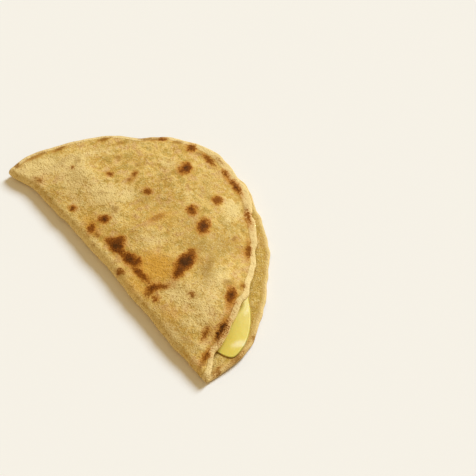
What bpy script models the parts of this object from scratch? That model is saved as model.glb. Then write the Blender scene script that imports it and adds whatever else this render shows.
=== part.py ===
"""Quesadilla: one flour tortilla folded in half over melted cheese.

Metres, +Z up. The fold runs along X and its outer edge is at low Y. The rim's
arc lies towards +Y, and the open mouth with its tongue of cheese is at the +X end.
The tortilla is a flat disc, laid out on a grid, that a function folds and domes;
the cheese is a sphere that a function flattens into the space between the layers.
"""

import math

import bmesh
import bpy
import numpy as np

# Tortilla: a disc of dough, folded
RADIUS = 0.1000            # of the flat disc, and so half the fold's length
THICKNESS = 0.0025         # of one layer
RIM_ROUND = 0.0006         # chamfer that takes the edge off the rim
LENGTH_STEPS = 54          # grid cells along the fold
ACROSS_STEPS = 42          # grid cells from rim to rim across the fold
FOLD_CROWDING = 1.7        # above 1 the rows crowd at the fold, where the bend is tight
SHARP_FROM = math.radians(60)     # an edge at least this sharp gets the chamfer
DOUGH_COLOUR = (0.62, 0.42, 0.17)
DOUGH_ROUGHNESS = 0.7

# Rim: how far it strays from the circle, at even steps of angle from the +X end
RIM_STRAY = (0.0030, 0.0045, -0.0005, -0.0040, -0.0040, -0.0035, 0.0,
             0.0030, 0.0025, -0.0035, 0.0010, 0.0015, -0.0020)
# Upper layer: how far its rim lies inside the lower one's, at even steps from the +X end
UPPER_INSET = (0.0, 0.0100, 0.0125, 0.0100, 0.0085, 0.0070, 0.0075, 0.0055, 0.0040, 0.0015, 0.0015)
INSET_STEP = math.radians(9)
INSET_REST = 0.0004        # and all round, but for
INSET_ENDS = 0.4           # this angle at both ends of the fold

# Space between the middles of the two layers
PRESSED = THICKNESS + 0.0005      # along the pressed rim
FOLD_END = 0.0034                 # at both ends of the fold
FOLD_MIDDLE = 0.0062              # half-way along the fold
FOLD_TAPER = 0.7                  # below 1 the fold stays thick until near its ends
DOME = 0.0096                     # over the filling
MOUTH_RISE = 0.0056               # more than PRESSED, at the mouth
MOUTH_ANGLE = math.radians(26)    # from the +X end, seen from the fold's middle
MOUTH_HALF_ANGLE = math.radians(31)
PRESSED_FROM = 0.985              # share of the upper layer's reach where it is pressed down
SLOPE_WIDTH = 0.50                # share of that reach that the dome's slope takes
ROUND_SHARE = 0.6                 # of the slope that is a plain arch, with no hollow at its foot
FOLD_SLOPE = 0.030                # from the fold to the dome's full height

# Underside: flat in the middle, with the far left rim curled up
FLAT_SHARE = 0.42
CURL = 0.0050
CURL_ANGLE = math.radians(130)
CURL_HALF_ANGLE = math.radians(60)
RIPPLE_LIFT = 0.0002       # raises the long waves that the underside follows
TIP_BEND = 0.0055                 # how far the -X end of the fold bends outwards
TIP_START = 0.72                  # share of the radius where that bend starts
FOLD_SWAYS = ((0.0008, 0.170, 1.9), (0.0003, 0.043, 0.5))  # the fold's sideways waves

# Gentle waves of both layers: height, direction, length, phase
WAVES = (
    (0.00045, math.radians(20), 0.047, 0.6),
    (0.00040, math.radians(100), 0.036, 2.1),
    (0.00030, math.radians(60), 0.027, 4.0),
)
# Blisters of the upper layer: place in X and Y, radius, height
BLISTERS = (
    (0.0000, 0.0330, 0.0150, 0.0010),
    (-0.0330, 0.0480, 0.0130, 0.0009),
    (0.0360, 0.0520, 0.0120, 0.0008),
    (-0.0560, 0.0260, 0.0120, 0.0008),
    (0.0480, 0.0250, 0.0110, 0.0008),
    (0.0080, 0.0700, 0.0130, 0.0008),
)

# Cheese
CHEESE_GAP = 0.0005        # clear of the tortilla's inner faces
CHEESE_MIDDLE = (0.0060, 0.0400)
CHEESE_FOLD_SIDE = 0.0062  # its edge along the fold
CHEESE_SHARE = 0.800       # its edge along the rim, as a share of the radius
CORNER_POWER = 8.0         # of the smooth minimum that rounds the corners between these two
LEAST_SINE = 0.05          # keeps the fold side's line finite where a ray runs along it
TONGUE = 0.0250            # how far it swells out at the mouth
TONGUE_ANGLE = math.radians(18.5)
TONGUE_TO_RIM = math.radians(32)      # from its tip to its end on the rim's side
TONGUE_TO_FOLD = math.radians(11)     # and on the fold's side
TONGUE_ROOT = 0.0080       # the tongue starts this far from the cheese's fold side
TONGUE_DROOP = 0.45        # share of its height that it loses outside
DROOP_FROM = 0.87          # share of the radius where it starts to sink
DROOP_WIDTH = 0.17
CHEESE_LEAST = 0.0004      # thinnest place
SLOPE_STEP = 0.0005        # over which the upper layer's slope is measured
CHEESE_SEGMENTS = 56
TONGUE_CROWDING = 0.5      # above 0 the segments crowd towards the mouth
CHEESE_RINGS = 22
RING_EVENNESS = 0.6        # 0 keeps a ball's spacing of rings, 1 spaces them evenly in plan
CHEESE_FULLNESS = 0.45     # below 1 the edge is blunter than a ball's
CHEESE_COLOUR = (0.80, 0.62, 0.13)
CHEESE_ROUGHNESS = 0.35


def smooth(share):
    """0 below 0, 1 above 1, and a soft S between."""
    share = np.clip(share, 0.0, 1.0)
    return share * share * (3.0 - 2.0 * share)


def bump(angle, middle, half_width):
    """A squared cosine: 1 at the middle and 0 beyond half_width."""
    share = np.clip(np.abs(angle - middle) / half_width, 0.0, 1.0)
    return np.cos(share * math.pi / 2) ** 2


def stations(angle, values, step):
    """A smooth curve through values set at every step of the angle, and 0 past the last."""
    total = np.zeros_like(angle)
    for place, value in enumerate(values):
        total += value * bump(angle, place * step, step)
    return total


def rim_radius(angle, upper):
    """Distance from the fold's middle to a layer's rim."""
    radius = RADIUS + stations(angle, RIM_STRAY, math.pi / (len(RIM_STRAY) - 1))
    ends = smooth(angle / INSET_ENDS) * smooth((math.pi - angle) / INSET_ENDS)
    inset = INSET_REST * ends + stations(angle, UPPER_INSET, INSET_STEP)
    return radius - np.where(upper, inset, 0.0)


def fold_height(x):
    """Space between the layers' middles at the fold: full half-way, small at its ends."""
    along = np.clip(1.0 - (x / RADIUS) ** 2, 0.0, 1.0)
    return FOLD_END + (FOLD_MIDDLE - FOLD_END) * along ** FOLD_TAPER


def sway(x):
    """How far the fold and all behind it lie off the X axis: long waves and the bent tip."""
    total = -TIP_BEND * smooth((-x / RADIUS - TIP_START) / (1.0 - TIP_START))
    for height, length, phase in FOLD_SWAYS:
        total = total + height * np.sin(2.0 * math.pi * x / length + phase)
    return total


def waves(x, y):
    """A few long waves that cross each other."""
    total = np.zeros_like(x)
    for height, direction, length, phase in WAVES:
        along = x * math.cos(direction) + y * math.sin(direction)
        total += height * np.sin(2.0 * math.pi * along / length + phase)
    return total


def polar(x, y):
    """Distance from the fold's middle as a share of the radius, and angle from +X."""
    return np.hypot(x, y) / RADIUS, np.arctan2(np.maximum(y, 0.0), x)


def lift(x, y):
    """How far the underside stands off the table."""
    share, angle = polar(x, y)
    outside = smooth((share - FLAT_SHARE) / (1.0 - FLAT_SHARE))
    ripple = np.maximum(waves(x, y) + RIPPLE_LIFT, 0.0)
    return outside * (CURL * bump(angle, CURL_ANGLE, CURL_HALF_ANGLE) + ripple)


def blisters(x, y):
    """Low rounds where steam lifted the upper layer off the filling."""
    total = np.zeros_like(x)
    for place_x, place_y, radius, height in BLISTERS:
        total += height * bump(np.hypot(x - place_x, y - place_y), 0.0, radius)
    return total


def separation(x, y):
    """Space between the layers' middles: dome, pressed rim, open mouth and fold."""
    share, angle = polar(x, y)
    rim = PRESSED + MOUTH_RISE * bump(angle, MOUTH_ANGLE, MOUTH_HALF_ANGLE)
    reach = share * RADIUS / rim_radius(angle, True)
    inward = np.clip((PRESSED_FROM - reach) / SLOPE_WIDTH, 0.0, 1.0)
    inside = smooth(inward) + ROUND_SHARE * (inward * (2.0 - inward) - smooth(inward))
    filled = rim + (DOME - rim) * inside + waves(y, x) * inside
    fold = fold_height(x)
    return np.maximum(fold + (filled - fold) * smooth(y / FOLD_SLOPE), PRESSED)


def fold_disc(u, v):
    """Lay the square grid's point (u, v) on the folded tortilla's middle surface.

    The square becomes a disc, the disc's points move out to the rim, and the line
    v = 0 becomes the fold: a half circle there, from the lower layer (v above 0)
    to the upper one (v below 0).
    """
    across = v * np.sqrt(1.0 - u * u / 2.0)
    along = u * np.sqrt(1.0 - v * v / 2.0)
    upper = v < 0.0
    angle = np.arctan2(np.abs(across), along)
    radius = np.hypot(along, across) * rim_radius(angle, upper)
    x = radius * np.cos(angle)
    run = radius * np.sin(angle)
    bend = fold_height(x) / 2.0
    turn = np.minimum(run / (bend * math.pi / 2.0), 1.0) * math.pi / 2.0
    y = np.where(turn < math.pi / 2.0, bend * (1.0 - np.cos(turn)), run - bend * (math.pi / 2.0 - 1.0))
    side = np.where(upper, 1.0, -1.0)
    space = separation(x, y) + blisters(x, y)
    z = THICKNESS / 2.0 + lift(x, y) + space / 2.0 * (1.0 + side * np.sin(turn))
    return x, y + sway(x), z


def cheese_reach(angle):
    """Distance from the cheese's middle to its outline in plan.

    Along the fold the outline is a straight line, along the rim a share of the
    circle, and a smooth minimum joins the two. The tongue swells out of the mouth,
    slowly on the rim's side and all at once on the fold's side.
    """
    middle_x, middle_y = CHEESE_MIDDLE
    cos, sin = np.cos(angle), np.sin(angle)
    ring = RADIUS * CHEESE_SHARE
    toward = middle_x * cos + middle_y * sin
    to_ring = -toward + np.sqrt(toward ** 2 + ring ** 2 - middle_x ** 2 - middle_y ** 2)
    to_fold = (middle_y - CHEESE_FOLD_SIDE) / np.maximum(-sin, LEAST_SINE)
    reach = (to_ring ** -CORNER_POWER + to_fold ** -CORNER_POWER) ** (-1.0 / CORNER_POWER)
    place_x, place_y = middle_x + reach * cos, middle_y + reach * sin
    place = np.arctan2(place_y, place_x)
    at_mouth = bump(place, TONGUE_ANGLE, np.where(place > TONGUE_ANGLE, TONGUE_TO_RIM, TONGUE_TO_FOLD))
    return reach + TONGUE * at_mouth * smooth((place_y - CHEESE_FOLD_SIDE) / TONGUE_ROOT)


def flatten_ball(x, y, z):
    """Spread a unit ball's points out between the two layers."""
    angle = np.arctan2(y, x)
    angle = angle - TONGUE_CROWDING * np.sin(angle)
    out = np.hypot(x, y)
    even = np.arccos(np.clip(np.abs(z), 0.0, 1.0)) / (math.pi / 2.0)
    out = out + (even - out) * RING_EVENNESS
    reach = cheese_reach(angle) * out
    plan_x = CHEESE_MIDDLE[0] + reach * np.cos(angle)
    plan_y = CHEESE_MIDDLE[1] + reach * np.sin(angle)
    climb_x = separation(plan_x + SLOPE_STEP, plan_y) - separation(plan_x - SLOPE_STEP, plan_y)
    climb_y = separation(plan_x, plan_y + SLOPE_STEP) - separation(plan_x, plan_y - SLOPE_STEP)
    lean = np.hypot(1.0, np.hypot(climb_x, climb_y) / (2.0 * SLOPE_STEP))
    wall = THICKNESS / 2.0 + CHEESE_GAP
    floor = THICKNESS / 2.0 + lift(plan_x, plan_y) + wall
    room = separation(plan_x, plan_y) - wall * (1.0 + lean)
    sunk = 1.0 - TONGUE_DROOP * smooth((polar(plan_x, plan_y)[0] - DROOP_FROM) / DROOP_WIDTH)
    half = np.maximum(room * sunk, CHEESE_LEAST) / 2.0
    height = floor + half + half * np.sign(z) * np.abs(z) ** CHEESE_FULLNESS
    return plan_x, plan_y + sway(plan_x), height


def move_vertices(mesh, rule):
    """Put every vertex of a bmesh where the rule takes it, as whole arrays."""
    places = np.array([vertex.co[:] for vertex in mesh.verts])
    moved = np.stack(rule(*places.T), axis=-1)
    for vertex, place in zip(mesh.verts, moved):
        vertex.co = place


def make_material(name, colour, roughness):
    """A plain Principled material."""
    material = bpy.data.materials.new(name)
    material.use_nodes = True
    shader = material.node_tree.nodes["Principled BSDF"]
    shader.inputs["Base Color"].default_value = (*colour, 1.0)
    shader.inputs["Roughness"].default_value = roughness
    shader.inputs["Metallic"].default_value = 0.0
    return material


def make_object(name, mesh, material, collection):
    """Turn a bmesh into a named object with its material."""
    data = bpy.data.meshes.new(name)
    mesh.to_mesh(data)
    mesh.free()
    data.materials.append(material)
    piece = bpy.data.objects.new(name, data)
    collection.objects.link(piece)
    return piece


def make_tortilla(collection):
    """The folded disc: a flat grid, moved by fold_disc, with a wall and a softened rim."""
    mesh = bmesh.new()
    bmesh.ops.create_grid(mesh, x_segments=LENGTH_STEPS, y_segments=ACROSS_STEPS, size=1.0)
    move_vertices(mesh, lambda u, w, flat: fold_disc(u, np.sign(w) * np.abs(w) ** FOLD_CROWDING))
    bmesh.ops.reverse_faces(mesh, faces=mesh.faces)
    material = make_material("tortilla", DOUGH_COLOUR, DOUGH_ROUGHNESS)
    piece = make_object("tortilla", mesh, material, collection)
    wall = piece.modifiers.new("wall", "SOLIDIFY")
    wall.thickness = THICKNESS
    wall.offset = 0.0
    edge = piece.modifiers.new("rim", "BEVEL")
    edge.width = RIM_ROUND
    edge.segments = 1
    edge.limit_method = "ANGLE"
    edge.angle_limit = SHARP_FROM
    return piece


def make_cheese(collection):
    """The melted filling: a ball, flattened between the layers."""
    mesh = bmesh.new()
    bmesh.ops.create_uvsphere(mesh, u_segments=CHEESE_SEGMENTS, v_segments=CHEESE_RINGS, radius=1.0)
    move_vertices(mesh, flatten_ball)
    material = make_material("cheese", CHEESE_COLOUR, CHEESE_ROUGHNESS)
    return make_object("cheese", mesh, material, collection)


def centre_on_origin(pieces):
    """Stand the whole object on the origin, under the middle of its box."""
    bpy.context.view_layer.update()
    graph = bpy.context.evaluated_depsgraph_get()
    corners = []
    for piece in pieces:
        corners.extend(piece.evaluated_get(graph).bound_box)
    corners = np.array([tuple(corner) for corner in corners])
    low, high = corners.min(axis=0), corners.max(axis=0)
    shift = np.array([-(low[0] + high[0]) / 2.0, -(low[1] + high[1]) / 2.0, -low[2]])
    for piece in pieces:
        for vertex in piece.data.vertices:
            vertex.co = tuple(np.array(vertex.co[:]) + shift)


def main():
    for old in list(bpy.data.objects):
        bpy.data.objects.remove(old, do_unlink=True)
    collection = bpy.data.collections.new("quesadilla")
    bpy.context.scene.collection.children.link(collection)
    pieces = [make_tortilla(collection), make_cheese(collection)]
    centre_on_origin(pieces)
    for piece in pieces:
        piece.data.shade_smooth()


main()
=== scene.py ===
import math

import bpy
import numpy as np
from mathutils import Matrix, Vector


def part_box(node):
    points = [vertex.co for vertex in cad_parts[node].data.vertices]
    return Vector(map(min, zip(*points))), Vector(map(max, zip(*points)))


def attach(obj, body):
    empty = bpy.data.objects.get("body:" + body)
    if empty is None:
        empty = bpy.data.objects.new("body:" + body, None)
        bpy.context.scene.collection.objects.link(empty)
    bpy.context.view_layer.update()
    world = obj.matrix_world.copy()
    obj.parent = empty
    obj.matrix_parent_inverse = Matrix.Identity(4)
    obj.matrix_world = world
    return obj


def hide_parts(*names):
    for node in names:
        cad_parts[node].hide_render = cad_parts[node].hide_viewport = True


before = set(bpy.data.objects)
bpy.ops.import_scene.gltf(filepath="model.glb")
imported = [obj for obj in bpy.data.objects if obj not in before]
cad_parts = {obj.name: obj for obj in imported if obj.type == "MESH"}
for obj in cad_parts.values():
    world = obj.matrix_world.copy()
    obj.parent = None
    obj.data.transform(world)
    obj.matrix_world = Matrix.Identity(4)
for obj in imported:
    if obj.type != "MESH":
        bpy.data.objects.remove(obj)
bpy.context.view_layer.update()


# ---- Tortilla -------------------------------------------------------------------
# A round of flour dough, baked on a dry hot pan and folded in half over the filling.
# One sheet: a disc's grid folded by a formula, its outer and inner faces a wall
# apart, closed by a rounded rim. Distances are in metres, lists of marks in mm.

RADIUS = 0.1000            # of the flat disc, and so half the fold's length
THICKNESS = 0.0025         # of one layer
LENGTH_CELLS = 216         # grid cells along the fold
UPPER_CELLS = 126          # grid cells from the fold to the upper rim
LOWER_CELLS = 84           # and to the lower rim, which faces the table
FOLD_CROWDING = 1.4        # above 1 the rows crowd at the fold, where the bend is tight
RIM_ROWS = 6               # rows of cells round the rim's edge
RIM_BULGE = 0.0010         # how far the rounded edge stands out
RIM_SQUARENESS = 0.8       # below 1 the rim's section is fuller than a half ellipse

# Rim: how far it strays from the circle, at even steps of angle from the +X end
RIM_STRAY = (0.0030, 0.0045, -0.0005, -0.0040, -0.0040, -0.0035, 0.0,
             0.0030, 0.0025, -0.0035, 0.0010, 0.0015, -0.0020)
RIM_STEP = math.pi / (len(RIM_STRAY) - 1)
RIM_RIPPLES = ((0.00025, 23, 0.7), (0.00020, 41, 2.9), (0.00012, 67, 1.1))  # height, count, phase
RIM_ENDS = 0.4             # angle at each end of the fold over which the two rims meet
# Upper layer: how far its rim lies inside the lower one's, at even steps
UPPER_INSET = (0.0, 0.0100, 0.0125, 0.0100, 0.0085, 0.0070, 0.0075, 0.0055, 0.0040, 0.0015, 0.0015)
INSET_STEP = math.radians(9)
INSET_REST = 0.0004        # more along the whole rim

# Space between the middles of the two layers
PRESSED = THICKNESS + 0.0005      # along the pressed rim, where they all but touch
FOLD_END = 0.0034                 # at both ends of the fold
FOLD_MIDDLE = 0.0062              # half-way along the fold
FOLD_TAPER = 0.7                  # power of the change from middle to ends
DOME = 0.0096                     # over the filling
MOUTH_RISE = 0.0056               # more than PRESSED, at the mouth
MOUTH_ANGLE = math.radians(26)
MOUTH_HALF_ANGLE = math.radians(31)
PRESSED_FROM = 0.985              # share of the upper layer's reach where it is pressed down
SLOPE_WIDTH = 0.50                # share of that reach that the dome's slope takes
ROUND_SHARE = 0.6                 # of the slope that is a plain arch, with no hollow at its foot
FOLD_SLOPE = 0.030                # from the fold to the dome's full height

# Underside: flat in the middle, with the rim curled up towards -X
FLAT_SHARE = 0.42                 # of the radius, flat on the table
CURL = 0.0050                     # the rim's height off the table there
CURL_ANGLE = math.radians(130)
CURL_HALF_ANGLE = math.radians(60)
RIPPLE_LIFT = 0.0002              # added to the long waves, which the table cuts off below
TIP_BEND = 0.0055                 # how far the -X end of the fold bends outwards
TIP_START = 0.72                  # share of the radius where it starts to bend
FOLD_SWAYS = ((0.0008, 0.170, 1.9), (0.0003, 0.043, 0.5))    # height, length, phase

WAVES = (                         # height, direction, length, phase
    (0.00045, math.radians(20), 0.047, 0.6),
    (0.00040, math.radians(100), 0.036, 2.1),
    (0.00030, math.radians(60), 0.027, 4.0),
)
BLISTERS = (                      # place in X and Y, radius, height
    (0.0000, 0.0330, 0.0150, 0.0010),
    (-0.0330, 0.0480, 0.0130, 0.0009),
    (0.0360, 0.0520, 0.0120, 0.0008),
    (-0.0560, 0.0260, 0.0120, 0.0008),
    (0.0480, 0.0250, 0.0110, 0.0008),
    (0.0080, 0.0700, 0.0130, 0.0008),
)

# Scorched spots of the upper layer, on the unfolded disc: place along and across the
# fold, half length, half width, direction in degrees, and darkness, above 1 if charred
SPOTS = (
    # along the rim, from the -X end to the mouth
    (-96, 5, 2.2, 1.3, 0, 0.40), (-94.5, 17, 4.8, 1.5, 83, 0.32), (-95.5, 21, 2.0, 0.8, 85, 0.38),
    (-91, 31, 3.0, 1.2, 90, 0.45), (-78.5, 52, 2.7, 1.6, 70, 0.42), (-68, 57, 2.0, 1.2, 50, 0.35),
    (-62.5, 71, 3.2, 1.1, 54, 0.38), (-58, 76, 3.0, 0.9, 54, 0.35), (-55, 79, 1.9, 1.4, 40, 0.75),
    (-47, 84, 2.8, 1.6, 50, 0.35), (-38, 87.5, 3.0, 2.2, -33, 0.90), (-31, 88, 1.3, 1.0, 0, 0.30),
    (-22.5, 90, 4.0, 1.3, 0, 0.65), (-19, 95, 2.0, 0.8, 10, 0.40),
    (-8.5, 92, 2.2, 1.0, -15, 0.70), (3, 90.3, 5.3, 1.6, -11, 0.92),
    (18.5, 86, 2.2, 1.0, -14, 0.25), (27, 82.5, 3.8, 0.9, -25, 0.80),
    (47.5, 67.5, 4.1, 1.0, -37, 0.58), (71, 40, 4.7, 2.3, -35, 1.00),
    (69, 49, 1.5, 0.9, -33, 0.50), (85, 23, 5.8, 1.7, -64, 1.35), (81, 15, 2.5, 0.9, -60, 0.60),
    (92, 7.5, 2.0, 0.9, -62, 1.25), (94.5, 3.5, 1.8, 0.6, -60, 0.35),
    # the three large ones with their lobes, and what runs between them
    (0, 9.5, 4.6, 3.6, 0, 1.00), (-4.5, 9, 3.4, 2.0, 10, 0.70), (-2, 12.5, 3.0, 3.4, 0, 0.75),
    (7, 9, 3.6, 1.4, 5, 0.85), (13.5, 10.5, 5.0, 3.0, 8, 1.00), (17.5, 12.5, 2.4, 2.2, 20, 0.80),
    (27, 10, 5.0, 1.3, 7, 0.75), (23, 9.5, 2.0, 1.4, 0, 0.80), (36.5, 33, 7.0, 4.3, -65, 1.00),
    (40.5, 26, 3.2, 2.4, -63, 0.80), (33, 40, 2.4, 2.0, -33, 0.55), (20, 56, 5.0, 3.1, -40, 1.00),
    # middling and small ones over the filling
    (-24, 74.5, 3.8, 2.6, -33, 1.00), (-23, 71, 2.2, 1.9, 0, 0.75),
    (8, 73.5, 2.9, 2.4, -33, 0.62), (6.5, 57, 3.1, 2.4, -33, 0.85), (-1, 38, 3.6, 1.4, 85, 0.30),
    (-23, 46, 2.1, 1.6, 20, 0.60), (-39, 48, 1.7, 1.0, -33, 0.55),
    (-36.5, 42.5, 1.2, 1.0, 0, 0.45), (-45, 54, 1.8, 1.5, 0, 0.30), (-49, 37, 1.7, 1.4, 0, 0.60),
    (-58, 49, 1.6, 1.2, 0, 0.35), (-73, 29, 3.0, 1.5, -20, 0.25), (-69, 23.5, 0.9, 0.8, 0, 0.50),
    (-39, 25, 1.5, 1.2, 0, 0.25), (-25, 64, 3.0, 1.2, 80, 0.25), (-23, 23.5, 2.2, 1.8, 0, 0.30),
    (37, 66, 1.6, 1.0, -45, 0.35), (62, 44, 2.2, 1.2, 60, 0.30), (57, 23.5, 1.7, 1.3, 0, 0.50),
    (46, 43, 3.5, 1.2, -50, 0.20),
    # along the fold
    (-79, 3.5, 1.1, 0.9, 0, 0.40), (-75.5, 3.5, 1.1, 0.9, 0, 0.45), (-42, 6, 1.6, 1.4, -33, 1.20),
    (-21.5, 15, 2.8, 2.2, 40, 0.95), (-21, 6, 3.0, 2.0, -33, 0.70), (-15, 6, 1.6, 0.9, 20, 0.45),
    (16.5, 2, 1.9, 1.4, 30, 0.55), (38.5, 10, 3.2, 1.8, 75, 1.00),
    (41.5, 14.5, 2.5, 0.9, 50, 0.65), (40, 6, 2.0, 1.2, -60, 0.50), (45, 7, 1.6, 1.3, 0, 0.65),
)
UNDER_SPOTS = 46           # scattered spots of the hidden lower layer
UNDER_SEED = 11
UNDER_REACH = 86.0         # mm from the middle, clear of the rim that shows
UNDER_FOLD = 12.0          # and from the fold
UNDER_WIDTH = (0.9, 3.2)   # mm, least and most half width
UNDER_STRETCH = (1.0, 2.2)     # half length for each mm of half width
UNDER_DARK = (0.1, 0.35)   # darkness for each mm of half width
UNDER_DARK_LEAST = 0.3
INSIDE_SPOTS = (           # on the inner face and rim of the lower layer, in the same way
    (101, 9.5, 2.0, 0.9, -78, 0.45), (101, 22, 3.6, 0.8, -76, 0.40),
    (95, 38, 2.4, 0.7, -66, 0.40), (80, 51, 1.5, 1.0, 0, 0.20), (61, 71, 1.6, 0.9, 0, 0.20),
)

# Soft patches, as the spots are given, with their strength last
TOASTED = (
    (28, 19, 13, 9, 25, 1.00), (8, 6, 12, 4, 0, 0.15), (-24, 8, 10, 5, 0, 0.50),
    (32, 4, 10, 4, 10, 0.45), (60, 8, 8, 6, 30, 0.35), (-1, 38, 10, 5, 90, 0.28),
    (-35, 88, 5, 3, 25, 0.35), (4, 45, 11, 8, 0, 0.15),
)
BLUSHED = (                # orange and rosy, beside the spots
    (-95, 15, 6, 1.6, 83, 0.90), (-58, 75, 4, 1.6, 54, 0.70), (-37, 45, 6, 3, -50, 0.50),
    (-38, 85, 3, 2.5, 0, 0.50), (-28, 90, 3, 1.3, 0, 0.60), (-23, 69, 4, 3, 0, 0.65),
    (-8, 92, 3, 1.6, 0, 0.60), (-4, 90.5, 3, 1.8, 0, 1.00), (8, 73, 4, 3, 54, 0.60),
    (7, 57, 3.5, 3.5, 0, 0.50), (19, 86, 3, 1.3, -14, 0.40), (48, 65, 4, 3.5, -35, 0.80),
    (77, 34, 4.5, 2.6, -30, 1.00), (41, 40, 4, 3, -60, 0.45), (41, 25, 5, 3, -66, 0.50),
    (2, 15, 4, 3, 0, 0.35), (-20, 6, 5, 3, 0, 0.60), (82, 19, 4, 2, -60, 0.50),
    (94.5, 3, 3, 1.4, -60, 0.60), (-1, 38, 6, 2.5, 85, 0.85), (16, 11, 8, 5, 0, 0.35),
)
FLOURED_AND_PAINTED_LIGHT = (
    (-85, 12, 11, 9, 60, 1.00), (-75, 31, 9, 6, 60, 0.60), (-62, 21, 12, 9, 5, 0.90),
    (-38, 25, 9, 8, 0, 1.00), (-28, 35, 7, 5, -50, 0.70), (-33, 67, 7, 5, 0, 0.50),
    (-5, 63, 9, 5, 0, 0.35), (9, 27, 12, 6, 45, 0.50), (17, 78, 7, 5, -20, 0.90),
    (56, 42, 10, 7, -40, 0.50), (54, 18, 8, 6, 0, 0.60), (68, 25, 9, 6, 40, 0.45),
    (74, 19, 7, 6, 40, 0.50), (85, 9, 5, 3.5, 40, 0.50), (58, 31, 11, 8, 45, 0.40),
    (-70, 45, 10, 5, 35, 0.40), (-46, 11, 12, 4, 0, 0.40), (-20, 22, 8, 4, 0, 0.50),
    (46, 17, 6, 6, 0, 0.50), (68, 11, 7, 4, 30, 0.40), (71, 2, 8, 3, 0, 0.40),
    # painted light: the last two strips, along the fold, lighten the underside that turns from the
    # lamp
    (23.5, 70, 8, 4.5, -33, 0.40), (0, -1.5, 95, 5, 0, 0.80), (-88, 0, 8, 5, 0, 0.60),
)
# painted light: a pale patch on the lower layer's inner face, in the shaded pocket under the cheese
POCKET_PAINTED_LIGHT = ((99, 9, 7, 7, 0, 1.00),)
# Dull patches; the strips at (81, 4.5) and (60, 4.5) along the fold's right part are painted shade
DULL_AND_PAINTED_SHADE = (
    (-60, 4, 10, 4, 0, 0.45), (-79, 22, 3, 9, 0, 0.40), (-20, 38, 4, 8, -20, 0.40),
    (27, 46, 9, 8, 45, 0.45), (45, 43, 6, 2.5, -50, 0.50), (81, 4.5, 10, 4, -7, 0.48),
    (-8, 77, 10, 8, -85, 0.25), (40, 51, 11, 5, -40, 0.25), (38, 60, 12, 8, 0, 0.45),
    (60, 4.5, 16, 4, 3, 0.64), (-4, 50, 10, 6, 40, 0.30), (48, 38, 7, 5, 0, 0.60),
    (56, 33, 6, 4, 0, 0.35), (-65, 65, 7, 5, 50, 0.55), (1, 71, 6, 4, 0, 0.45),
    (12, 52, 6, 6, 0, 0.35), (34, 46, 6, 5, 0, 0.35),
)
MM = 0.001
RIM_BAND = 2.4             # mm of pale dough along the rim, on the outer faces
RIM_BROAD = 2.9            # mm more where the two rims lie pressed together
BROAD_ANGLE = math.radians(88)
BROAD_HALF_ANGLE = math.radians(44)
INNER_RIM_LIGHT_START = 0.82          # painted light: the inner face's rim, which lies in shade, starts this far across the pale band
INNER_RIM_LIGHT_FADE = 0.10         # and crosses this much more of it for each mm
CONTACT_SHADE_TINT = (0.0, 0.0, 0.1, 0.6, 1.0)        # painted shade: darkening of the rim's rows, from outer to inner face, a dark line where the upper layer rests on the lower
TABLE_SHADE_TINT = (0.9, 0.45, 0.1, 0.0, 0.0)     # painted shade of the lower layer's rows, dark where it meets the table
FAR_OUTLINE_TINT = (0.6, 0.9, 1.0, 1.0, 1.0)    # darkening of the upper layer's rows beyond the top of the arc, a dark outline
FAR_FROM = math.radians(112)
FAR_WIDTH = math.radians(25)
SPOT_MERGE = 0.5           # mm over which neighbouring spots run together
SPOT_RANGE = (-8.0, 6.0)   # mm, least and most depth that is kept
SPOT_PUFF = 0.00018        # how far the skin is blown up at a spot
PUFF_FROM = -1.5           # mm of depth where that starts
PUFF_WIDTH = 3.0           # mm over which it rises
SPOT_BEND = 0.0003         # how far a spot's outline strays from its oval
SPOT_BEND_LENGTH = 0.0045
SPOT_BEND_SEEDS = (21, 22)     # along and across the fold
DIMPLES = ((0.00010, 0.016, 3), (0.00006, 0.007, 5))   # height, length, seed
DIMPLE_WAVES = 9
DIMPLE_LENGTHS = (0.7, 1.4)    # least and most, as shares of the length given
DIMPLE_SCALE = 2.1         # brings the waves' sum back to about 1


def smooth(share):
    """0 below 0, 1 above 1, and a soft S between."""
    share = np.clip(share, 0.0, 1.0)
    return share * share * (3.0 - 2.0 * share)


def bump(angle, middle, half_width):
    """A squared cosine: 1 at the middle and 0 beyond half_width."""
    share = np.clip(np.abs(angle - middle) / half_width, 0.0, 1.0)
    return np.cos(share * math.pi / 2) ** 2


def stations(angle, values, step):
    """A smooth curve through values set at every step of the angle, and 0 past the last."""
    return sum(value * bump(angle, place * step, step) for place, value in enumerate(values))


def between_ends(angle):
    """1 along the rim and 0 at both ends of the fold, with a soft S on the way."""
    return smooth(angle / RIM_ENDS) * smooth((math.pi - angle) / RIM_ENDS)


def rim_radius(angle, upper):
    """Distance from the fold's middle to a layer's rim, without its small ripples."""
    radius = RADIUS + stations(angle, RIM_STRAY, RIM_STEP)
    inset = INSET_REST * between_ends(angle) + stations(angle, UPPER_INSET, INSET_STEP)
    return radius - np.where(upper, inset, 0.0)


def rim_ripple(angle, upper):
    """Small uneven steps of a rim; none at the fold's ends, where the layers meet."""
    ripple = sum(height * np.sin(count * angle + phase) for height, count, phase in RIM_RIPPLES)
    return np.where(upper, ripple, -ripple) * between_ends(angle)


def fold_height(x):
    """Space between the layers' middles at the fold: full half-way, small at its ends."""
    along = np.clip(1.0 - (x / RADIUS) ** 2, 0.0, 1.0)
    return FOLD_END + (FOLD_MIDDLE - FOLD_END) * along ** FOLD_TAPER


def sway(x):
    """How far the fold and all behind it lie off the X axis: long waves and the bent tip."""
    bent = -TIP_BEND * smooth((-x / RADIUS - TIP_START) / (1.0 - TIP_START))
    return bent + sum(height * np.sin(2.0 * math.pi * x / length + phase)
                      for height, length, phase in FOLD_SWAYS)


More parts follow.
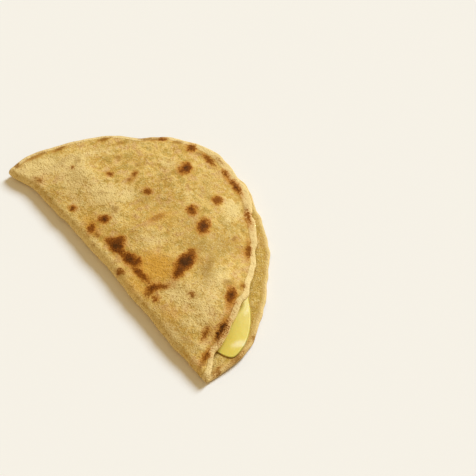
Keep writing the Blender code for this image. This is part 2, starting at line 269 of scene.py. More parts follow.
def waves(x, y):
    """A few long waves that cross each other."""
    total = np.zeros_like(x)
    for height, direction, length, phase in WAVES:
        along = x * math.cos(direction) + y * math.sin(direction)
        total += height * np.sin(2.0 * math.pi * along / length + phase)
    return total


def polar(x, y):
    """Distance from the fold's middle as a share of the radius, and angle from +X."""
    return np.hypot(x, y) / RADIUS, np.arctan2(np.maximum(y, 0.0), x)


def lift(x, y):
    """How far the underside stands off the table."""
    share, angle = polar(x, y)
    outside = smooth((share - FLAT_SHARE) / (1.0 - FLAT_SHARE))
    ripple = np.maximum(waves(x, y) + RIPPLE_LIFT, 0.0)
    return outside * (CURL * bump(angle, CURL_ANGLE, CURL_HALF_ANGLE) + ripple)


def blisters(x, y):
    """Low rounds where steam lifted the upper layer off the filling."""
    return sum(height * bump(np.hypot(x - place_x, y - place_y), 0.0, radius)
               for place_x, place_y, radius, height in BLISTERS)


def separation(x, y):
    """Space between the layers' middles: dome, pressed rim, open mouth and fold."""
    share, angle = polar(x, y)
    rim = PRESSED + MOUTH_RISE * bump(angle, MOUTH_ANGLE, MOUTH_HALF_ANGLE)
    reach = share * RADIUS / rim_radius(angle, True)
    inward = np.clip((PRESSED_FROM - reach) / SLOPE_WIDTH, 0.0, 1.0)
    inside = smooth(inward) + ROUND_SHARE * (inward * (2.0 - inward) - smooth(inward))
    filled = rim + (DOME - rim) * inside + waves(y, x) * inside
    fold = fold_height(x)
    return np.maximum(fold + (filled - fold) * smooth(y / FOLD_SLOPE), PRESSED)


def fold_disc(u, v):
    """Lay the square grid's points (u, v) on the folded tortilla's middle surface.

    The square becomes a disc, the disc's points move out to the rim, and the line
    v = 0 becomes the fold: a half circle there, from the lower layer (v above 0)
    to the upper one (v below 0). Gives the places, and each point's place on the
    unfolded disc with its distance from the rim.
    """
    across = v * np.sqrt(1.0 - u * u / 2.0)
    along = u * np.sqrt(1.0 - v * v / 2.0)
    upper = v < 0.0
    angle = np.arctan2(np.abs(across), along)
    rim = rim_radius(angle, upper) + rim_ripple(angle, upper) - RIM_BULGE
    share = np.hypot(along, across)
    x = share * rim * np.cos(angle)
    run = share * rim * np.sin(angle)
    bend = fold_height(x) / 2.0
    straight = bend * (math.pi / 2.0 - 1.0)
    turn = np.minimum(run / (bend * math.pi / 2.0), 1.0) * math.pi / 2.0
    y = np.where(turn < math.pi / 2.0, bend * (1.0 - np.cos(turn)), run - straight)
    side = np.where(upper, 1.0, -1.0)
    space = separation(x, y) + blisters(x, y)
    z = THICKNESS / 2.0 + lift(x, y) + space / 2.0 * (1.0 + side * np.sin(turn))
    return np.stack([x, y + sway(x), z], axis=-1), x, side * run - straight, (1.0 - share) * rim


def unit(vectors):
    """Vectors scaled to length one."""
    return vectors / np.linalg.norm(vectors, axis=-1, keepdims=True)


def dimples(x, y, length, seed):
    """Soft bumps from about -1 to 1: plane waves of nearly one length, in seeded directions."""
    draw = np.random.default_rng(seed)
    total = np.zeros_like(x)
    for turn in range(DIMPLE_WAVES):
        direction = math.pi * (turn + draw.uniform()) / DIMPLE_WAVES
        pace = 2.0 * math.pi / (length * draw.uniform(*DIMPLE_LENGTHS))
        along = x * math.cos(direction) + y * math.sin(direction)
        total += np.sin(pace * along + draw.uniform(0.0, 2.0 * math.pi))
    return total / DIMPLE_SCALE


def oval_distance(x, y, oval):
    """How far inside an oval a point lies, as a share: 1 at its middle, 0 on its edge."""
    place_x, place_y, length, width, direction = oval[:5]
    cos, sin = math.cos(math.radians(direction)), math.sin(math.radians(direction))
    along = (x / MM - place_x) * cos + (y / MM - place_y) * sin
    beside = (y / MM - place_y) * cos - (x / MM - place_x) * sin
    return 1.0 - np.hypot(along / length, beside / width)


def scorching(x, y, spots):
    """Depth inside the nearest spot's edge in mm, below 0 outside, and that spot's darkness.

    The spots' depths are joined by a soft maximum, and the same weights mix their
    darkness. Small seeded waves bend the ovals' outlines.
    """
    bend_x, bend_y = (SPOT_BEND * dimples(x, y, SPOT_BEND_LENGTH, seed) for seed in SPOT_BEND_SEEDS)
    depths = np.stack([oval_distance(x + bend_x, y + bend_y, spot) * min(spot[2], spot[3])
                       for spot in spots])
    top = depths.max(axis=0)
    weights = np.exp((depths - top) / SPOT_MERGE)
    total = weights.sum(axis=0)
    dark = np.array([spot[5] for spot in spots]).reshape(-1, *[1] * x.ndim)
    return top + SPOT_MERGE * np.log(total), (weights * dark).sum(axis=0) / total


def patches(x, y, ovals):
    """Strength of soft patches: a bell over each oval, about a third as strong at its edge."""
    total = np.zeros_like(x)
    for oval in ovals:
        total += oval[5] * np.exp(-(1.0 - oval_distance(x, y, oval)) ** 2)
    return np.clip(total, 0.0, 1.0)


def scattered_spots(count, seed):
    """Spots spread evenly by area over the lower half of the unfolded disc."""
    draw = np.random.default_rng(seed)
    spots = []
    for _ in range(count):
        out = math.sqrt(draw.uniform())
        angle = draw.uniform(0.0, math.pi)
        across = UNDER_FOLD + (UNDER_REACH - UNDER_FOLD) * out * math.sin(angle)
        width = draw.uniform(*UNDER_WIDTH)
        length = width * draw.uniform(*UNDER_STRETCH)
        direction = draw.uniform(-90.0, 90.0)
        dark = min(UNDER_DARK_LEAST + width * draw.uniform(*UNDER_DARK), 1.0)
        spots.append((UNDER_REACH * out * math.cos(angle), -across, length, width, direction, dark))
    return tuple(spots)


def grid_faces(first, rows, columns, turned):
    """Quads between the points of a grid whose numbers run along its rows from first."""
    corner = first + (np.arange(rows - 1)[:, None] * columns + np.arange(columns - 1)).ravel()
    quads = np.stack([corner, corner + columns, corner + columns + 1, corner + 1], axis=-1)
    return quads[:, ::-1] if turned else quads


def border(rows, columns):
    """Numbers of the points round a grid's edge, once round."""
    number = np.arange(rows * columns).reshape(rows, columns)
    return np.concatenate([number[0, :-1], number[:-1, -1], number[-1, :0:-1], number[:0:-1, 0]])


def add_piece(name, points, faces, finish, marks):
    """A smooth mesh object at the origin, with one number a point for each named mark."""
    mesh = bpy.data.meshes.new(name)
    mesh.from_pydata(points.tolist(), [], faces)
    for mark, values in marks.items():
        layer = mesh.attributes.new(mark, "FLOAT", "POINT")
        layer.data.foreach_set("value", values.astype(np.float32))
    mesh.materials.append(finish)
    mesh.update()
    mesh.shade_smooth()
    piece = bpy.data.objects.new(name, mesh)
    bpy.context.scene.collection.objects.link(piece)
    return piece


def colour(red, green, blue):
    """A screen colour from 0 to 255, as the light-linear colour the shader needs."""
    return tuple(((c / 255.0 + 0.055) / 1.055) ** 2.4 for c in (red, green, blue)) + (1.0,)


class Link:
    """A socket among a material's nodes, so that sums of sockets read as plain sums.

    + - and * add a Math node. node() adds any other: its settings are set first, then
    the numbers or links of its inputs.
    """

    def __init__(self, tree, socket=None):
        self.tree = tree
        self.socket = socket

    def node(self, kind, settings=None, inputs=None, output=0):
        made = self.tree.nodes.new(kind)
        for name, setting in (settings or {}).items():
            setattr(made, name, setting)
        for key, value in (inputs or {}).items():
            if isinstance(value, Link):
                self.tree.links.new(value.socket, made.inputs[key])
            else:
                made.inputs[key].default_value = value
        return Link(self.tree, made.outputs[output] if made.outputs else None)

    def maths(self, operation, first, second):
        return self.node("ShaderNodeMath", {"operation": operation}, {0: first, 1: second})

    def __add__(self, other):
        return self.maths("ADD", self, other)

    def __sub__(self, other):
        return self.maths("SUBTRACT", self, other)

    def __rsub__(self, other):
        return self.maths("SUBTRACT", other, self)

    def __mul__(self, other):
        return self.maths("MULTIPLY", self, other)

    __radd__ = __add__
    __rmul__ = __mul__

    def higher(self, other):
        return self.maths("MAXIMUM", self, other)

    def rise(self, low, high):
        """0 up to low, 1 from high on, and a soft S between."""
        return self.node("ShaderNodeMapRange", {"interpolation_type": "SMOOTHSTEP"},
                         {0: self, 1: low, 2: high})

    def mark(self, name):
        """A number that the mesh holds for each point."""
        return self.node("ShaderNodeAttribute", {"attribute_name": name}, output=2)

    def noise(self, place, size, detail, roughness):
        """Cloudy noise round 0.5, of blots of the given size in metres."""
        return self.node("ShaderNodeTexNoise", {}, {"Vector": place, "Scale": 1.0 / size,
                                                    "Detail": detail, "Roughness": roughness})

    def blend(self, first, second, share):
        """One colour turning into another as the share goes from 0 to 1."""
        return self.node("ShaderNodeMix", {"data_type": "RGBA"}, {0: share, 6: first, 7: second},
                         output=2)


def new_finish(name):
    """A new material: itself, its tree as a Link, and its Principled shader."""
    finish = bpy.data.materials.new(name)
    finish.use_nodes = True
    return finish, Link(finish.node_tree), finish.node_tree.nodes["Principled BSDF"]


def connect(shader, inputs):
    """Set or link a shader's sockets."""
    for key, value in inputs.items():
        if isinstance(value, Link):
            value.tree.links.new(value.socket, shader.inputs[key])
        else:
            shader.inputs[key].default_value = value


DOUGH = colour(214, 168, 78)
PALE_DOUGH = colour(236, 196, 107)
DARK_SPECK = colour(172, 130, 56)
PALE_SPECK = colour(236, 208, 142)
OLIVE_DOUGH = colour(194, 158, 72)
ROSY_DOUGH = colour(220, 172, 108)
# pale flour, also the painted light under the fold and in the pocket
FLOUR_AND_PAINTED_LIGHT = colour(248, 218, 143)
GOLD = colour(222, 163, 60)
# dull dough, also the painted shade along the fold and in the rim's crease
DULL_DOUGH_AND_SHADE = colour(176, 138, 66)
# pale rim dough, and painted light on the inner face's rim
PALE_RIM_AND_PAINTED_LIGHT = colour(244, 213, 144)
# painted shade along the rim where the layers meet and at the table, and a dark outline on the far
# rim
SHADE_AND_OUTLINE_DOUGH = colour(150, 108, 50)
INSIDE_DOUGH = colour(207, 168, 70)
BLUSH = colour(208, 138, 60)
AMBER = colour(190, 116, 32)
TAN = colour(156, 106, 30)
BROWN = colour(146, 80, 16)
SCORCHED = colour(118, 64, 16)
CHARRED = colour(72, 42, 12)

CLOUD = (0.016, 3.0, 0.55)     # noises, the broadest first: size of blots, detail, roughness
TINT = (0.0060, 3.0, 0.6)
MOTTLE = (0.0032, 3.0, 0.6)
GRAIN = (0.0012, 2.0, 0.6)
FINE = (0.0006, 1.0, 0.5)
UNEVEN_MOTTLE, UNEVEN_GRAIN = 1.2, 0.9     # what they add to the edges of the patches
RAGGED_MOTTLE, RAGGED_GRAIN, RAGGED_FINE = 1.6, 3.0, 2.0   # and to the spots' depth, in mm
RIM_UNEVEN = 0.25          # share of the first that the rim's band takes
SPECK_GRAIN, SPECK_FINE, SPECK_MOTTLE = 0.4, 0.35, 0.25    # shares of three noises in the specks
SPECK_FROM = (0.50, 0.64)  # range over which the specks come in
PALE_MOTTLE, PALE_FROM = 1.2, (0.34, 0.66)     # each dough's finer noise, its range, its most
OLIVE_GRAIN, OLIVE_FROM, OLIVE_SHARE = 0.2, (0.50, 0.64), 0.9
ROSY_FROM, ROSY_SHARE = (0.52, 0.64), 0.8
DARK_SPECK_RIM, DARK_SPECK_REST = 0.2, 0.6     # most of the dark specks on the rim, and off it
DARK_SPECK_FROM = 0.6      # share of the rim's band where they begin to gather
PALE_SPECK_REST = 0.65     # most of the pale specks off the toasted patches
PALE_SPECK_TOASTED = 0.15  # and on them
PATCH_LOOKS = (            # mark, colour, gain, raggedness, mark where it is full, most
    # flour patches, with painted light under the fold and in the pocket
    ("floured_and_painted_light", FLOUR_AND_PAINTED_LIGHT, 1.3, 1.0, 1.0, 0.80),
    # dull patches, with painted shade along the fold's right part
    ("dull_and_painted_shade", DULL_DOUGH_AND_SHADE, 1.3, 1.0, 1.0, 0.75),
    ("toasted", GOLD, 1.3, 0.5, 0.9, 0.95),
    ("blushed", BLUSH, 1.2, 0.6, 1.0, 0.70),
)
INSIDE_SHARE = 0.5
PALE_RIM_TO = (0.70, 1.05)     # share of the rim's band over which its paleness fades
PALE_RIM_SHARE = 0.85
CREASE_FROM, CREASE_TO = 0.85, 1.35    # a faint crease runs along the band's inner side, with painted shade in it
CREASE_SHADE_SHARE = 0.15
# how dark the painted shade and outline along the rim are
SHADE_AND_OUTLINE_SHARE = 0.8
SCORCH_LOOKS = (           # colour, depth in mm and darkness over which it comes in, most
    (BLUSH, (-2.5, -0.5), (0.2, 1.0), 0.35),
    (AMBER, (-2.0, 0.1), (0.2, 0.8), 0.80),
    (TAN, (-0.9, 0.4), (0.0, 0.5), 0.75),
    (BROWN, (-0.8, 0.5), (0.25, 0.7), 0.85),
)
SCORCHED_DEPTH, SCORCHED_DARK, SCORCHED_SHARE = (-0.3, 1.6), (0.3, 0.9), 0.95
SCORCHED_RAGGED = 0.8
CHARRED_DEPTH, CHARRED_DARK, CHARRED_SHARE = (0.8, 3.2), (0.6, 1.0), 0.85
CHARRED_RAGGED = 2.0
CHARRED_GAIN = 5.0         # mm deeper for each 1 of darkness above 1
DOUGH_ROUGHNESS = 0.78
CORE_DEPTH = (-0.5, 1.1)   # mm, over which a spot turns smoother towards its core
CORE_GLOSS = 0.15
DOUGH_SPECULAR = 0.04
DOUGH_RELIEF = 0.0013      # depth of the skin's fine relief, in metres
RELIEF_MOTTLE, RELIEF_GRAIN, RELIEF_FINE = 0.45, 0.40, 0.15    # shares of three noises in it
RELIEF_CREASE = 0.15       # how far the crease sinks into it


def tortilla_finish():
    """Baked flour dough: cloudy gold and cream, toasted patches, and brown-edged scorched spots.

    Noises of five sizes break up every edge. The marks say where the patches, the pale
    rim and the spots are; each colour is laid over the last where its mark is high.
    Some marks are painted light and shade: a dark line along the rim where the layers
    meet and where the lower layer meets the table, shade in the rim's crease and along
    the fold's right part, and paler dough under the fold, in the pocket and on the
    inner face's rim. A dark outline runs along the far rim.
    """
    finish, start, shader = new_finish("baked dough")
    place = start.node("ShaderNodeTexCoord", output=3)
    cloud = start.noise(place, *CLOUD)
    mottle = start.noise(place, *MOTTLE)
    grain = start.noise(place, *GRAIN)
    fine = start.noise(place, *FINE)
    tint = start.noise(place, *TINT)
    uneven = (mottle - 0.5) * UNEVEN_MOTTLE + (grain - 0.5) * UNEVEN_GRAIN
    ragged = (mottle - 0.5) * RAGGED_MOTTLE + (grain - 0.5) * RAGGED_GRAIN
    ragged = ragged + (fine - 0.5) * RAGGED_FINE
    speck = grain * SPECK_GRAIN + fine * SPECK_FINE + mottle * SPECK_MOTTLE

    pale = (cloud + (mottle - 0.5) * PALE_MOTTLE).rise(*PALE_FROM)
    skin = start.blend(DOUGH, PALE_DOUGH, pale)
    olive = (tint + (grain - 0.5) * OLIVE_GRAIN).rise(*OLIVE_FROM)
    skin = start.blend(skin, OLIVE_DOUGH, olive * OLIVE_SHARE)
    skin = start.blend(skin, ROSY_DOUGH, (1.0 - tint).rise(*ROSY_FROM) * ROSY_SHARE)
    for mark, shade, gain, rough, full, most in PATCH_LOOKS:
        patch = (start.mark(mark) * gain + uneven * rough).rise(0.0, full)
        skin = start.blend(skin, shade, patch * most)
    skin = start.blend(skin, INSIDE_DOUGH, start.mark("inside") * INSIDE_SHARE)

    # the pale rim band: the dough's own pale rim on the outer faces, painted light over the shaded
    # rim on the inner face
    fade, full = PALE_RIM_TO
    to_rim = start.mark("rim") + uneven * RIM_UNEVEN
    skin = start.blend(skin, PALE_RIM_AND_PAINTED_LIGHT, (1.0 - to_rim.rise(fade, full)) * PALE_RIM_SHARE)
    # painted shade: the crease is darkened with dull dough
    crease = to_rim.rise(CREASE_FROM, full) * (1.0 - to_rim.rise(full, CREASE_TO))
    skin = start.blend(skin, DULL_DOUGH_AND_SHADE, crease * CREASE_SHADE_SHARE)
    more = DARK_SPECK_REST - DARK_SPECK_RIM
    most = DARK_SPECK_RIM + to_rim.rise(DARK_SPECK_FROM, full) * more
    skin = start.blend(skin, DARK_SPECK, (1.0 - speck).rise(*SPECK_FROM) * most)
    less = PALE_SPECK_REST - PALE_SPECK_TOASTED
    most = PALE_SPECK_REST - start.mark("toasted") * less
    skin = start.blend(skin, PALE_SPECK, speck.rise(*SPECK_FROM) * most)
    # painted shade: a dark line along the rim where the layers meet and where the lower layer meets
    # the table, and a dark outline on the far rim
    skin = start.blend(skin, SHADE_AND_OUTLINE_DOUGH, start.mark("edge") * SHADE_AND_OUTLINE_SHARE)

    depth = start.mark("scorch") + ragged
    burn = start.mark("burn")
    for shade, mm, darkness, most in SCORCH_LOOKS:
        skin = start.blend(skin, shade, depth.rise(*mm) * burn.rise(*darkness) * most)
    brown = (depth + uneven * SCORCHED_RAGGED).rise(*SCORCHED_DEPTH) * burn.rise(*SCORCHED_DARK)
    skin = start.blend(skin, SCORCHED, brown * SCORCHED_SHARE)
    deeper = (burn - 1.0).higher(0.0) * CHARRED_GAIN + uneven * CHARRED_RAGGED
    black = (depth + deeper).rise(*CHARRED_DEPTH) * burn.rise(*CHARRED_DARK)
    skin = start.blend(skin, CHARRED, black * CHARRED_SHARE)

    relief = mottle * RELIEF_MOTTLE + grain * RELIEF_GRAIN + fine * RELIEF_FINE
    relief = relief - crease * RELIEF_CREASE
    normal = start.node("ShaderNodeBump", {}, {"Strength": 1.0, "Distance": DOUGH_RELIEF,
                                               "Height": relief})
    roughness = DOUGH_ROUGHNESS - depth.rise(*CORE_DEPTH) * burn * CORE_GLOSS
    connect(shader, {"Base Color": skin, "Roughness": roughness, "Normal": normal,
                     "Specular IOR Level": DOUGH_SPECULAR})
    return finish


def tortilla_mesh():
    """Points, faces and marks of the folded sheet.

    The outer face is the middle surface moved out by half a wall and by the skin's own
    relief; the inner face is moved in by half a wall. Round the rim, half an ellipse
    runs from one to the other.
    """
    u = np.linspace(-1.0, 1.0, LENGTH_CELLS + 1)
    v = np.concatenate([np.linspace(-1.0, 0.0, UPPER_CELLS + 1),
                        np.linspace(0.0, 1.0, LOWER_CELLS + 1)[1:]])
    v = np.sign(v) * np.abs(v) ** FOLD_CROWDING
    rows, columns = len(v), len(u)
    middle, flat_x, flat_y, to_rim = fold_disc(*np.meshgrid(u, v))
    normal = unit(np.cross(np.gradient(middle, axis=0), np.gradient(middle, axis=1)))
    normal[0], normal[-1] = normal[1], normal[-2]
    normal[:, 0], normal[:, -1] = normal[:, 1], normal[:, -2]

    depth, dark = scorching(flat_x, flat_y, SPOTS + scattered_spots(UNDER_SPOTS, UNDER_SEED))
    inner_depth, inner_dark = scorching(flat_x, -flat_y, INSIDE_SPOTS)
    relief = sum(height * dimples(flat_x, flat_y, length, seed) for height, length, seed in DIMPLES)
    relief = relief + SPOT_PUFF * smooth((depth - PUFF_FROM) / PUFF_WIDTH) * dark
    outer = middle + normal * (THICKNESS / 2.0 + relief)[..., None]
    inner = middle - normal * THICKNESS / 2.0

    edge = border(rows, columns)
    flat_middle, flat_normal = middle.reshape(-1, 3)[edge], normal.reshape(-1, 3)[edge]
    flat_relief = relief.reshape(-1)[edge]
    ahead = np.roll(flat_middle, -1, axis=0) - np.roll(flat_middle, 1, axis=0)
    outward = unit(np.cross(flat_normal, ahead))
    rings = []
    for row in range(1, RIM_ROWS):
        angle = math.pi * row / RIM_ROWS
        rise = math.cos(angle) * THICKNESS / 2.0 + flat_relief * (1.0 + math.cos(angle)) / 2.0
        out = RIM_BULGE * math.sin(angle) ** RIM_SQUARENESS
        rings.append(flat_middle + flat_normal * rise[:, None] + outward * out)
    points = np.concatenate([outer.reshape(-1, 3), *rings, inner.reshape(-1, 3)])
    points[:, 2] = np.maximum(points[:, 2], 0.0)

    inner_first = rows * columns + len(edge) * (RIM_ROWS - 1)
    ring_loops = [rows * columns + len(edge) * row + np.arange(len(edge))
                  for row in range(RIM_ROWS - 1)]
    loops = [edge, *ring_loops, inner_first + edge]
    faces = [grid_faces(0, rows, columns, False), grid_faces(inner_first, rows, columns, True)]
    for near, far in zip(loops[:-1], loops[1:]):
        faces.append(np.stack([near, np.roll(near, -1), np.roll(far, -1), far], axis=-1))

    def spread(values, inside=None):
        """A mark's values for the outer face, the rim's rings and the inner face."""
        last = values if inside is None else inside
        rim_outer, rim_inner = values.reshape(-1)[edge], last.reshape(-1)[edge]
        half = (RIM_ROWS - 1) // 2
        rings = [rim_outer] * half + [rim_inner] * (RIM_ROWS - 1 - half)
        return np.concatenate([values.reshape(-1), *rings, last.reshape(-1)])

    none = np.zeros_like(depth)
    band = RIM_BAND + RIM_BROAD * bump(np.arctan2(flat_y, flat_x), BROAD_ANGLE, BROAD_HALF_ANGLE)
    # painted shade along the rim's rows: where the upper layer rests on the lower and where the
    # lower meets the table; a dark outline beyond the top of the arc
    near, far, below = (np.array(rows_tint)[:, None]
                        for rows_tint in (CONTACT_SHADE_TINT, FAR_OUTLINE_TINT, TABLE_SHADE_TINT))
    edge_angle = np.arctan2(np.abs(flat_y), flat_x).reshape(-1)[edge]
    tint = near + (far - near) * smooth((edge_angle - FAR_FROM) / FAR_WIDTH)
    tint = np.where(flat_y.reshape(-1)[edge] < 0.0, below, tint)
    # painted light in the pocket under the cheese, which lies in shade
    pocket_light_mask = patches(flat_x, -flat_y, POCKET_PAINTED_LIGHT)
    marks = {
        "scorch": spread(np.clip(depth, *SPOT_RANGE), np.clip(inner_depth, *SPOT_RANGE)),
        "burn": spread(dark, inner_dark),
        "toasted": spread(patches(flat_x, flat_y, TOASTED)),
        "blushed": spread(patches(flat_x, flat_y, BLUSHED), none),
        "floured_and_painted_light": spread(patches(flat_x, flat_y, FLOURED_AND_PAINTED_LIGHT), pocket_light_mask),
        "dull_and_painted_shade": spread(patches(flat_x, flat_y, DULL_AND_PAINTED_SHADE), none),
        # on the inner face the pale band is painted light
        "rim": spread(to_rim / MM / band, INNER_RIM_LIGHT_START + INNER_RIM_LIGHT_FADE * to_rim / MM),
        "inside": np.concatenate([np.zeros(inner_first), np.ones(rows * columns)]),
        # edge: the painted shade and dark outline along the rim
        "edge": np.concatenate([none.reshape(-1), tint.reshape(-1), none.reshape(-1)]),
    }
    return points, np.concatenate(faces).tolist(), marks


points, faces, marks = tortilla_mesh()
low, high = np.array(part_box("tortilla"))
shift = (low + high) / 2.0 - (points.min(axis=0) + points.max(axis=0)) / 2.0
shift[2] = low[2]
tortilla = add_piece("folded_tortilla", points + shift, faces, tortilla_finish(), marks)
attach(tortilla, "root")
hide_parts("tortilla")


# ---- Cheese ---------------------------------------------------------------------
# Melted cheese that fills the space between the layers and swells out of the mouth.
# A ball's points are spread out between the two inner faces, clear of both.

CHEESE_GAP = 0.0004        # to each of the layers
CHEESE_MIDDLE = (0.0060, 0.0400)   # in plan, from the fold's middle
CHEESE_FOLD_SIDE = 0.0062  # its edge along the fold
CHEESE_SHARE = 0.800       # its edge along the rim, as a share of the radius
TONGUE = 0.0250            # how far it swells out at the mouth
TONGUE_ANGLE = math.radians(18.5)
TONGUE_TO_RIM = math.radians(32)   # from its tip to its end on the rim's side
TONGUE_TO_FOLD = math.radians(11)  # and on the fold's side
TONGUE_ROOT = 0.0080       # distance from the fold's side over which it swells out
TONGUE_DROOP = 0.45        # share of its height that it loses outside
DROOP_FROM = 0.87          # share of the radius where it starts to sink
DROOP_WIDTH = 0.17
TONGUE_CROWDING = 0.5      # above 0 the cells crowd towards the mouth
CHEESE_AROUND = 300        # cells round the ball
CHEESE_RINGS = 90          # and from pole to pole
RING_EVENNESS = 0.6        # at 1 the rings are evenly spaced in plan
CHEESE_FULLNESS = 0.45     # below 1 the edge is blunter than a ball's
SETTLED_FROM = 0.74        # share of the radius where it starts to settle on the lower layer
SETTLED_WIDTH = 0.10
SETTLED_BRIM = 0.06        # height of the settled edge, as a share of the cheese's depth
SETTLED_FULLNESS = 1.0
CHEESE_LEAST = 0.0004      # depth
SLOPE_STEP = 0.0005        # either side of a point, to measure the layers' slope there
CORNER_POWER = 8.0         # the higher, the sharper the corners of the outline
LEAST_SINE = 0.05          # keeps the distance to the fold's side finite
PAINTED_HIGHLIGHTS = (                 # painted highlights: paler patches where the light glints, given as the dough's
    (95, 26, 4.5, 2.5, 70, 0.90), (80, 42, 6, 1.2, 125, 0.50),
)


def cheese_reach(angle):
    """Distance from the cheese's middle to its outline in plan.

    Along the fold the outline is a straight line, along the rim a share of the
    circle, and a smooth minimum joins the two. The tongue swells out of the mouth,
    slowly on the rim's side and all at once on the fold's side.
    """
    middle_x, middle_y = CHEESE_MIDDLE
    cos, sin = np.cos(angle), np.sin(angle)
    ring = RADIUS * CHEESE_SHARE
    toward = middle_x * cos + middle_y * sin
    to_ring = -toward + np.sqrt(toward ** 2 + ring ** 2 - middle_x ** 2 - middle_y ** 2)
    to_fold = (middle_y - CHEESE_FOLD_SIDE) / np.maximum(-sin, LEAST_SINE)
    reach = (to_ring ** -CORNER_POWER + to_fold ** -CORNER_POWER) ** (-1.0 / CORNER_POWER)
    place_x, place_y = middle_x + reach * cos, middle_y + reach * sin
    place = np.arctan2(place_y, place_x)
    half_width = np.where(place > TONGUE_ANGLE, TONGUE_TO_RIM, TONGUE_TO_FOLD)
    at_mouth = bump(place, TONGUE_ANGLE, half_width)
    return reach + TONGUE * at_mouth * smooth((place_y - CHEESE_FOLD_SIDE) / TONGUE_ROOT)


def flatten_ball(x, y, z):
    """Spread a unit ball's points out between the two layers.

    In plan the ball's equator becomes the outline. Its height fills the room between
    the layers, less the gaps, which are wider where the layers slope. Outside the
    mouth the room shrinks and the edge sinks to the lower layer.
    """
    angle = np.arctan2(y, x)
    angle = angle - TONGUE_CROWDING * np.sin(angle)
    out = np.hypot(x, y)
    even = np.arccos(np.clip(np.abs(z), 0.0, 1.0)) / (math.pi / 2.0)
    out = out + (even - out) * RING_EVENNESS
    reach = cheese_reach(angle) * out
    plan_x = CHEESE_MIDDLE[0] + reach * np.cos(angle)
    plan_y = CHEESE_MIDDLE[1] + reach * np.sin(angle)
    climb_x = separation(plan_x + SLOPE_STEP, plan_y) - separation(plan_x - SLOPE_STEP, plan_y)
    climb_y = separation(plan_x, plan_y + SLOPE_STEP) - separation(plan_x, plan_y - SLOPE_STEP)
    lean = np.hypot(1.0, np.hypot(climb_x, climb_y) / (2.0 * SLOPE_STEP))
    wall = THICKNESS / 2.0 + CHEESE_GAP
    floor = THICKNESS / 2.0 + lift(plan_x, plan_y) + wall
    room = separation(plan_x, plan_y) - wall * (1.0 + lean)
    share, _ = polar(plan_x, plan_y)
    sunk = 1.0 - TONGUE_DROOP * smooth((share - DROOP_FROM) / DROOP_WIDTH)
    depth = np.maximum(room * sunk, CHEESE_LEAST)
    outside = smooth((share - SETTLED_FROM) / SETTLED_WIDTH)
    brim = 0.5 + (SETTLED_BRIM - 0.5) * outside
    fullness = CHEESE_FULLNESS + (SETTLED_FULLNESS - CHEESE_FULLNESS) * outside
    height = floor + depth * (brim + (np.where(z > 0.0, 1.0, 0.0) - brim) * np.abs(z) ** fullness)
    return np.stack([plan_x, plan_y + sway(plan_x), height], axis=-1)


def cheese_mesh():
    """A ball of rings between two poles, flattened: its points and its faces."""
    around = np.arange(CHEESE_AROUND) * 2.0 * math.pi / CHEESE_AROUND
    down = np.arange(1, CHEESE_RINGS)[:, None] * math.pi / CHEESE_RINGS
    ball = np.stack([np.sin(down) * np.cos(around), np.sin(down) * np.sin(around),
                     np.cos(down) + 0.0 * around], axis=-1).reshape(-1, 3)
    ball = np.concatenate([ball, [[0.0, 0.0, 1.0], [0.0, 0.0, -1.0]]])
    number = np.arange((CHEESE_RINGS - 1) * CHEESE_AROUND).reshape(CHEESE_RINGS - 1, CHEESE_AROUND)
    after = np.roll(number, -1, axis=1)
    quads = np.stack([number[:-1], number[1:], after[1:], after[:-1]], axis=-1).reshape(-1, 4)
    top = len(ball) - 2
    pole = np.full(CHEESE_AROUND, top)
    caps = np.concatenate([np.stack([pole, number[0], after[0]], axis=-1),
                           np.stack([pole + 1, after[-1], number[-1]], axis=-1)])
    return flatten_ball(*ball.T), quads.tolist() + caps.tolist()


CHEESE = colour(231, 206, 89)
CHEESE_CREAM_AND_HIGHLIGHT = colour(248, 229, 160)
CHEESE_DEEP = colour(223, 195, 76)

CHEESE_CLOUD = (0.008, 2.0, 0.5)       # noises, as the dough's
CHEESE_GRAIN = (0.0015, 2.0, 0.5)
DEEP_FROM, DEEP_SHARE = (0.52, 0.72), 0.5
HIGHLIGHT_GAIN, CREAM_CLOUD, CREAM_GRAIN = 1.2, 0.8, 0.6   # of the painted highlights, and of both noises
CREAM_FROM, CREAM_SHARE = (0.1, 0.9), 0.9
CHEESE_RELIEF, CHEESE_BUMP = 0.0008, 0.3   # depth in metres, strength
SWELL_SHARE, PIT_SHARE = 0.8, 0.2      # of both noises in that relief
CHEESE_ROUGHNESS = 0.42
CHEESE_SPECULAR = 0.35
CHEESE_GLOW = 0.2          # share of the light that spreads inside
CHEESE_GLOW_RADIUS = (0.004, 0.003, 0.001)


def cheese_finish():
    """Melted yellow cheese: smooth and a little glossy, with pale streaks and painted highlights.
    """
    finish, start, shader = new_finish("melted cheese")
    place = start.node("ShaderNodeTexCoord", output=3)
    cloud = start.noise(place, *CHEESE_CLOUD)
    grain = start.noise(place, *CHEESE_GRAIN)
    body = start.blend(CHEESE, CHEESE_DEEP, (1.0 - cloud).rise(*DEEP_FROM) * DEEP_SHARE)
    # painted highlights from the mark, and pale streaks from the noises
    cream = start.mark("cream") * HIGHLIGHT_GAIN + (cloud - 0.5) * CREAM_CLOUD
    cream = cream + (grain - 0.5) * CREAM_GRAIN
    body = start.blend(body, CHEESE_CREAM_AND_HIGHLIGHT, cream.rise(*CREAM_FROM) * CREAM_SHARE)
    relief = cloud * SWELL_SHARE + grain * PIT_SHARE
    normal = start.node("ShaderNodeBump", {}, {"Strength": CHEESE_BUMP, "Distance": CHEESE_RELIEF,
                                               "Height": relief})
    connect(shader, {"Base Color": body, "Roughness": CHEESE_ROUGHNESS, "Normal": normal,
                     "Specular IOR Level": CHEESE_SPECULAR, "Subsurface Weight": CHEESE_GLOW,
                     "Subsurface Radius": CHEESE_GLOW_RADIUS})
    return finish


points, faces = cheese_mesh()
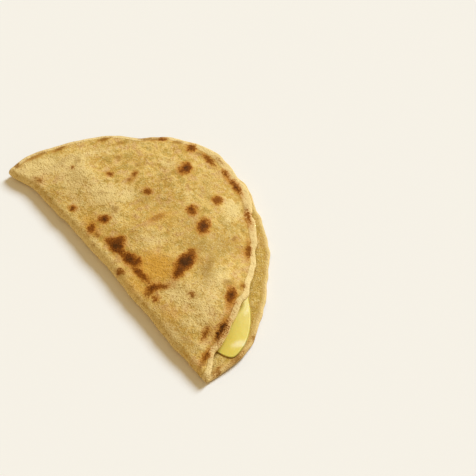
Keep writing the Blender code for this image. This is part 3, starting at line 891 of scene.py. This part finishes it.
# the cream mark holds the painted highlights
marks = {"cream": patches(points[:, 0], points[:, 1], PAINTED_HIGHLIGHTS)}
cheese = add_piece("melted_cheese", points + shift, faces, cheese_finish(), marks)
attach(cheese, "root")
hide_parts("cheese")


# ---- Floor ----------------------------------------------------------------------
# A plain cream table top, matt, flat and far wider than the view. The quesadilla
# rests on it, and it takes no part in the object.

FLOOR_HALF = 3.0
FLOOR_COLOUR = colour(247, 242, 231)
FLOOR_ROUGHNESS = 0.9
FLOOR_SPECULAR = 0.1

square = np.array([(-1.0, -1.0, 0.0), (1.0, -1.0, 0.0), (1.0, 1.0, 0.0), (-1.0, 1.0, 0.0)])
finish, _, shader = new_finish("cream floor")
connect(shader, {"Base Color": FLOOR_COLOUR, "Roughness": FLOOR_ROUGHNESS,
                 "Specular IOR Level": FLOOR_SPECULAR})
floor = add_piece("floor", square * FLOOR_HALF, [(0, 1, 2, 3)], finish, {})


# ---- Light and camera -----------------------------------------------------------
# One broad soft lamp behind the rim's side and an even pale room, so that the fold's
# side lies in a soft shade. The camera looks down at the mouth's end of the fold.

LAMP_AZIMUTH = math.radians(100)        # of the lamp's place, from +X towards +Y
LAMP_ELEVATION = math.radians(38)
LAMP_POWER = 2.7
LAMP_SPREAD = math.radians(24)
LAMP_COLOUR = (0.97, 1.17, 1.46)        # cool, against the warm room
ROOM_COLOUR = (1.0, 0.78, 0.45, 1.0)
ROOM_POWER = 0.48

CAMERA_AZIMUTH = math.radians(57.02)    # of the camera's place, from -Y towards +X
CAMERA_ELEVATION = math.radians(48.24)
CAMERA_ROLL = math.radians(-4.63)
CAMERA_DISTANCE = 0.6473
CAMERA_TARGET = (0.0314, 0.0719, 0.0)   # from the fold's middle
CAMERA_LENS = 85.0
CAMERA_SENSOR = 36.0


def direction(azimuth, elevation):
    """A unit vector, its azimuth turning from +X towards +Y."""
    return Vector((math.cos(azimuth) * math.cos(elevation), math.sin(azimuth) * math.cos(elevation),
                   math.sin(elevation)))


light = bpy.data.lights.new("lamp", "SUN")
light.energy = LAMP_POWER
light.angle = LAMP_SPREAD
light.color = LAMP_COLOUR
lamp = bpy.data.objects.new("lamp", light)
lamp.rotation_euler = direction(LAMP_AZIMUTH, LAMP_ELEVATION).to_track_quat("Z", "Y").to_euler()
bpy.context.scene.collection.objects.link(lamp)
world = bpy.data.worlds.new("room")
world.use_nodes = True
world.node_tree.nodes["Background"].inputs["Color"].default_value = ROOM_COLOUR
world.node_tree.nodes["Background"].inputs["Strength"].default_value = ROOM_POWER
bpy.context.scene.world = world
bpy.context.scene.view_settings.view_transform = "Standard"

back = direction(CAMERA_AZIMUTH - math.pi / 2.0, CAMERA_ELEVATION)
level = direction(CAMERA_AZIMUTH, 0.0)
steep = back.cross(level)
right = level * math.cos(CAMERA_ROLL) + steep * math.sin(CAMERA_ROLL)
up = steep * math.cos(CAMERA_ROLL) - level * math.sin(CAMERA_ROLL)
turn = Matrix((right, up, back)).transposed().to_4x4()
lens = bpy.data.cameras.new("camera")
lens.lens = CAMERA_LENS
lens.sensor_width = CAMERA_SENSOR
camera = bpy.data.objects.new("camera", lens)
target = Vector(CAMERA_TARGET) + Vector(shift)
camera.matrix_world = Matrix.Translation(target + back * CAMERA_DISTANCE) @ turn
bpy.context.scene.collection.objects.link(camera)
bpy.context.scene.camera = camera
